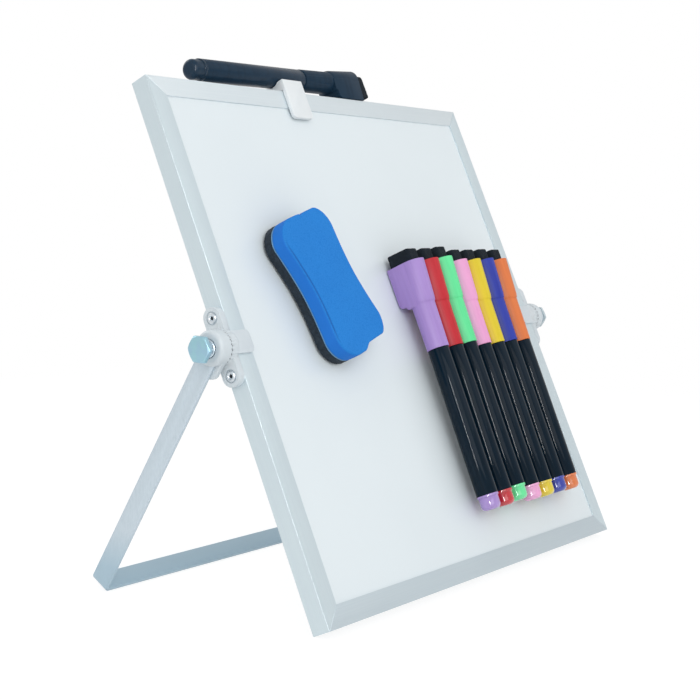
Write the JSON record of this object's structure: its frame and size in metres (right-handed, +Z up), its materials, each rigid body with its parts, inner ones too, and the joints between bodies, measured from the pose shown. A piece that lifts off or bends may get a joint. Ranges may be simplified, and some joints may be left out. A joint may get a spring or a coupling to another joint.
{
  "type": "magnetic desk whiteboard easel",
  "caption": "Framed double-sided magnetic whiteboard that leans on a folding U-shaped leg, with capped markers, an eraser and a clip-on marker rest.",
  "frame": {"origin": "on the desk, under the middle of the whole object's box", "axes": "+X to the right of someone facing the writing side, +Y away from them, +Z up"},
  "size_m": [0.2904, 0.1292, 0.2486],
  "materials": {
    "frame_front": "satin anodised",
    "sheet": "glossy white coated steel writing surface",
    "core": "fibreboard",
    "key": "plain",
    "moulding": "fine satin",
    "rivet": "plated",
    "nut": "plated",
    "leg": "satin",
    "spacer": "turned",
    "bolt": "blue zinc plate",
    "clip": "satin",
    "eraser_foam": "fine-celled foam",
    "eraser_felt": "pressed felt",
    "eraser_magnet": "flexible magnet sheet",
    "cap_felt": "pressed felt",
    "barrel": "satin black",
    "purple_plastic": "satin gloss",
    "red_plastic": "satin gloss",
    "green_plastic": "satin gloss",
    "pink_plastic": "satin gloss",
    "yellow_plastic": "satin gloss",
    "blue_plastic": "satin gloss",
    "orange_plastic": "satin gloss",
    "black_plastic": "satin gloss"
  },
  "bodies": {
    "board": {"frame_left": "frame_front", "frame_right": "frame_front", "frame_top": "frame_front", "frame_bottom": "frame_front", "front_sheet": "sheet", "rear_sheet": "sheet", "core_board": "core", "corner_keys": "key", "left_pivot_bracket": "moulding", "right_pivot_bracket": "moulding", "bracket_rivets": "rivet", "pivot_nuts": "nut"},
    "leg": {"leg_strip": "leg", "left_hub": "moulding", "right_hub": "moulding"},
    "left_spacer": {"left_spacer": "spacer"},
    "left_bolt": {"left_bolt": "bolt"},
    "right_spacer": {"right_spacer": "spacer"},
    "right_bolt": {"right_bolt": "bolt"},
    "clip": {"pen_clip": "clip"},
    "eraser": {"eraser_foam": "eraser_foam", "eraser_felt": "eraser_felt", "eraser_magnet": "eraser_magnet"},
    "purple_barrel": {"purple_barrel": "barrel", "purple_plug": "purple_plastic"},
    "purple_cap": {"purple_cap": "purple_plastic", "purple_felt": "cap_felt"},
    "red_barrel": {"red_barrel": "barrel", "red_plug": "red_plastic"},
    "red_cap": {"red_cap": "red_plastic", "red_felt": "cap_felt"},
    "green_barrel": {"green_barrel": "barrel", "green_plug": "green_plastic"},
    "green_cap": {"green_cap": "green_plastic", "green_felt": "cap_felt"},
    "pink_barrel": {"pink_barrel": "barrel", "pink_plug": "pink_plastic"},
    "pink_cap": {"pink_cap": "pink_plastic", "pink_felt": "cap_felt"},
    "yellow_barrel": {"yellow_barrel": "barrel", "yellow_plug": "yellow_plastic"},
    "yellow_cap": {"yellow_cap": "yellow_plastic", "yellow_felt": "cap_felt"},
    "blue_barrel": {"blue_barrel": "barrel", "blue_plug": "blue_plastic"},
    "blue_cap": {"blue_cap": "blue_plastic", "blue_felt": "cap_felt"},
    "orange_barrel": {"orange_barrel": "barrel", "orange_plug": "orange_plastic"},
    "orange_cap": {"orange_cap": "orange_plastic", "orange_felt": "cap_felt"},
    "black_barrel": {"black_barrel": "barrel", "black_plug": "black_plastic"},
    "black_cap": {"black_cap": "black_plastic", "black_felt": "cap_felt"}
  },
  "joints": [
    {"name": "leg_fold", "type": "hinge", "parent": "board", "child": "leg", "pos_m": [0, -0.00522, 0.11652], "axis": [1, 0, 0], "range_deg": [-220.6, 109.4]},
    {"name": "left_bolt_travel", "type": "slide", "parent": "board", "child": "left_spacer", "axis": [-1, 0, 0], "range_m": [0, 0.0008]},
    {"name": "left_bolt_turn", "type": "hinge", "parent": "left_spacer", "child": "left_bolt", "pos_m": [-0.138, -0.00522, 0.11652], "axis": [-1, 0, 0], "range_deg": [0, 360]},
    {"name": "right_bolt_travel", "type": "slide", "parent": "board", "child": "right_spacer", "axis": [1, 0, 0], "range_m": [0, 0.0008]},
    {"name": "right_bolt_turn", "type": "hinge", "parent": "right_spacer", "child": "right_bolt", "pos_m": [0.138, -0.00522, 0.11652], "axis": [1, 0, 0], "range_deg": [0, 360]},
    {"name": "clip_slide", "type": "slide", "parent": "board", "child": "clip", "axis": [1, 0, 0], "range_m": [-0.095, 0.142]},
    {"name": "purple_lift", "type": "slide", "parent": "board", "child": "purple_barrel", "axis": [0, -0.9011, 0.4337], "range_m": [0, 0.06]},
    {"name": "purple_uncap", "type": "slide", "parent": "purple_barrel", "child": "purple_cap", "axis": [0, 0.4147, 0.91], "range_m": [0, 0.05]},
    {"name": "red_lift", "type": "slide", "parent": "board", "child": "red_barrel", "axis": [0, -0.9011, 0.4337], "range_m": [0, 0.06]},
    {"name": "red_uncap", "type": "slide", "parent": "red_barrel", "child": "red_cap", "axis": [0, 0.4147, 0.91], "range_m": [0, 0.05]},
    {"name": "green_lift", "type": "slide", "parent": "board", "child": "green_barrel", "axis": [0, -0.9011, 0.4337], "range_m": [0, 0.06]},
    {"name": "green_uncap", "type": "slide", "parent": "green_barrel", "child": "green_cap", "axis": [0, 0.4147, 0.91], "range_m": [0, 0.05]},
    {"name": "pink_lift", "type": "slide", "parent": "board", "child": "pink_barrel", "axis": [0, -0.9011, 0.4337], "range_m": [0, 0.06]},
    {"name": "pink_uncap", "type": "slide", "parent": "pink_barrel", "child": "pink_cap", "axis": [0, 0.4147, 0.91], "range_m": [0, 0.05]},
    {"name": "yellow_lift", "type": "slide", "parent": "board", "child": "yellow_barrel", "axis": [0, -0.9011, 0.4337], "range_m": [0, 0.06]},
    {"name": "yellow_uncap", "type": "slide", "parent": "yellow_barrel", "child": "yellow_cap", "axis": [0, 0.4147, 0.91], "range_m": [0, 0.05]},
    {"name": "blue_lift", "type": "slide", "parent": "board", "child": "blue_barrel", "axis": [0, -0.9011, 0.4337], "range_m": [0, 0.06]},
    {"name": "blue_uncap", "type": "slide", "parent": "blue_barrel", "child": "blue_cap", "axis": [0, 0.4147, 0.91], "range_m": [0, 0.05]},
    {"name": "orange_lift", "type": "slide", "parent": "board", "child": "orange_barrel", "axis": [0, -0.9011, 0.4337], "range_m": [0, 0.06]},
    {"name": "orange_uncap", "type": "slide", "parent": "orange_barrel", "child": "orange_cap", "axis": [0, 0.4147, 0.91], "range_m": [0, 0.05]},
    {"name": "black_lift", "type": "slide", "parent": "clip", "child": "black_barrel", "axis": [0, 0.4337, 0.9011], "range_m": [0, 0.04]},
    {"name": "black_uncap", "type": "slide", "parent": "black_barrel", "child": "black_cap", "axis": [0.9998, 0.0091, 0.0189], "range_m": [0, 0.05]},
    {"name": "eraser_lift", "type": "slide", "parent": "board", "child": "eraser", "axis": [0, -0.9011, 0.4337], "range_m": [0, 0.06]}
  ],
  "couplings": [
    {"joint": "left_bolt_turn", "follows": "left_bolt_travel", "rad_per_m": 7850},
    {"joint": "right_bolt_turn", "follows": "right_bolt_travel", "rad_per_m": 7850}
  ]
}
